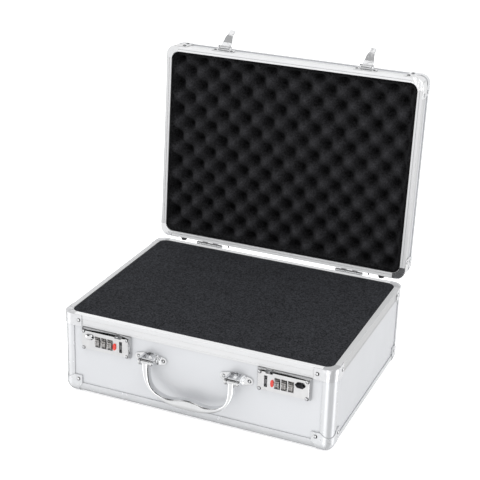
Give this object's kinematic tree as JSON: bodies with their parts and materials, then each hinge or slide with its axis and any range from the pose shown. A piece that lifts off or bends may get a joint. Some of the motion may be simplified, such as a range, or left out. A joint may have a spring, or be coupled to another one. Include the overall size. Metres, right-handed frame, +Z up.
{
  "type": "aluminium attache case",
  "caption": "Hard attache case with an aluminium shell, hinged lid, foam lining, combination locks with hasps and a folding handle.",
  "frame": {"origin": "centre of the base's underside, on the plane that the case rests on", "axes": "+X to the right of someone facing the locks, +Y from the locks to the hinges, +Z up; the lid stands open"},
  "size_m": [0.3644, 0.352, 0.409],
  "materials": {
    "panel_aluminium": "satin, fine grain",
    "extrusion_aluminium": "satin anodised",
    "corner_metal": "satin silver",
    "chrome": "bright plated",
    "lock_satin": "satin plated",
    "dial_metal": "satin plated, numbered",
    "steel": "bright drawn",
    "red_plastic": "gloss",
    "foam_charcoal": "open cell foam, matt",
    "foam_black": "open cell foam, matt",
    "black_rubber": "matt"
  },
  "bodies": {
    "base": {"base_floor_panel": "panel_aluminium", "base_front_panel": "panel_aluminium", "base_back_panel": "panel_aluminium", "base_left_panel": "panel_aluminium", "base_right_panel": "panel_aluminium", "base_rim": "extrusion_aluminium", "base_corner_posts": "extrusion_aluminium", "base_bottom_edges": "extrusion_aluminium", "base_ball_corners": "corner_metal", "base_rim_corners": "chrome", "base_rivets": "chrome", "base_foam": "foam_charcoal", "base_feet": "black_rubber", "handle_bracket_left": "chrome", "handle_bracket_right": "chrome", "handle_pins": "chrome", "bracket_screws": "chrome", "lock_case_left": "lock_satin", "lock_case_right": "lock_satin", "lock_screws": "chrome", "lock_index_left": "red_plastic", "lock_index_right": "red_plastic", "dial_axle_left": "steel", "dial_axle_right": "steel", "hinge_base_leaf_left": "chrome", "hinge_base_leaf_right": "chrome", "hinge_pin_left": "steel", "hinge_pin_right": "steel"},
    "handle": {"handle_grip": "chrome"},
    "dial_left_1": {"dial_left_1": "dial_metal"},
    "dial_left_2": {"dial_left_2": "dial_metal"},
    "dial_left_3": {"dial_left_3": "dial_metal"},
    "dial_right_1": {"dial_right_1": "dial_metal"},
    "dial_right_2": {"dial_right_2": "dial_metal"},
    "dial_right_3": {"dial_right_3": "dial_metal"},
    "button_left": {"release_button_left": "chrome"},
    "button_right": {"release_button_right": "chrome"},
    "lever_left": {"reset_lever_left": "steel"},
    "lever_right": {"reset_lever_right": "steel"},
    "lid": {"lid_top_panel": "panel_aluminium", "lid_front_panel": "panel_aluminium", "lid_back_panel": "panel_aluminium", "lid_left_panel": "panel_aluminium", "lid_right_panel": "panel_aluminium", "lid_rim": "extrusion_aluminium", "lid_corner_posts": "extrusion_aluminium", "lid_top_edges": "extrusion_aluminium", "lid_ball_corners": "corner_metal", "lid_rim_corners": "chrome", "lid_rivets": "chrome", "lid_foam": "foam_black", "lid_feet": "black_rubber", "hinge_lid_leaf_left": "chrome", "hinge_lid_leaf_right": "chrome", "hasp_mount_left": "chrome", "hasp_mount_right": "chrome", "hasp_pins": "steel"},
    "hasp_left": {"hasp_left": "chrome"},
    "hasp_right": {"hasp_right": "chrome"}
  },
  "joints": [
    {"name": "lid_hinge", "type": "hinge", "parent": "base", "child": "lid", "pos_m": [0, 0.1389, 0.1126], "axis": [1, 0, 0], "range_deg": [0, 93.5]},
    {"name": "handle_swing", "type": "hinge", "parent": "base", "child": "handle", "pos_m": [0, -0.149, 0.0755], "axis": [-1, 0, 0], "range_deg": [0, 95]},
    {"name": "hasp_left_fold", "type": "hinge", "parent": "lid", "child": "hasp_left", "pos_m": [-0.1, 0.16832, 0.39042], "axis": [1, 0, 0], "range_deg": [0, 147], "stiffness_Nm_per_rad": 0.004, "springref_deg": -17.19},
    {"name": "hasp_right_fold", "type": "hinge", "parent": "lid", "child": "hasp_right", "pos_m": [0.1, 0.16832, 0.39042], "axis": [1, 0, 0], "range_deg": [0, 147], "stiffness_Nm_per_rad": 0.004, "springref_deg": -17.19},
    {"name": "dial_left_1_turn", "type": "hinge", "parent": "base", "child": "dial_left_1", "pos_m": [-0.1108, -0.1367, 0.08245], "axis": [1, 0, 0], "continuous": true},
    {"name": "dial_left_2_turn", "type": "hinge", "parent": "base", "child": "dial_left_2", "pos_m": [-0.1193, -0.1367, 0.08245], "axis": [1, 0, 0], "continuous": true},
    {"name": "dial_left_3_turn", "type": "hinge", "parent": "base", "child": "dial_left_3", "pos_m": [-0.1278, -0.1367, 0.08245], "axis": [1, 0, 0], "continuous": true},
    {"name": "button_left_slide", "type": "slide", "parent": "base", "child": "button_left", "axis": [-1, 0, 0], "range_m": [0, 0.004], "stiffness_N_per_m": 250},
    {"name": "lever_left_slide", "type": "slide", "parent": "base", "child": "lever_left", "axis": [0, 0, 1], "range_m": [-0.003, 0.003]},
    {"name": "dial_right_1_turn", "type": "hinge", "parent": "base", "child": "dial_right_1", "pos_m": [0.1108, -0.1367, 0.08245], "axis": [1, 0, 0], "continuous": true},
    {"name": "dial_right_2_turn", "type": "hinge", "parent": "base", "child": "dial_right_2", "pos_m": [0.1193, -0.1367, 0.08245], "axis": [1, 0, 0], "continuous": true},
    {"name": "dial_right_3_turn", "type": "hinge", "parent": "base", "child": "dial_right_3", "pos_m": [0.1278, -0.1367, 0.08245], "axis": [1, 0, 0], "continuous": true},
    {"name": "button_right_slide", "type": "slide", "parent": "base", "child": "button_right", "axis": [1, 0, 0], "range_m": [0, 0.004], "stiffness_N_per_m": 250},
    {"name": "lever_right_slide", "type": "slide", "parent": "base", "child": "lever_right", "axis": [0, 0, 1], "range_m": [-0.003, 0.003]}
  ]
}
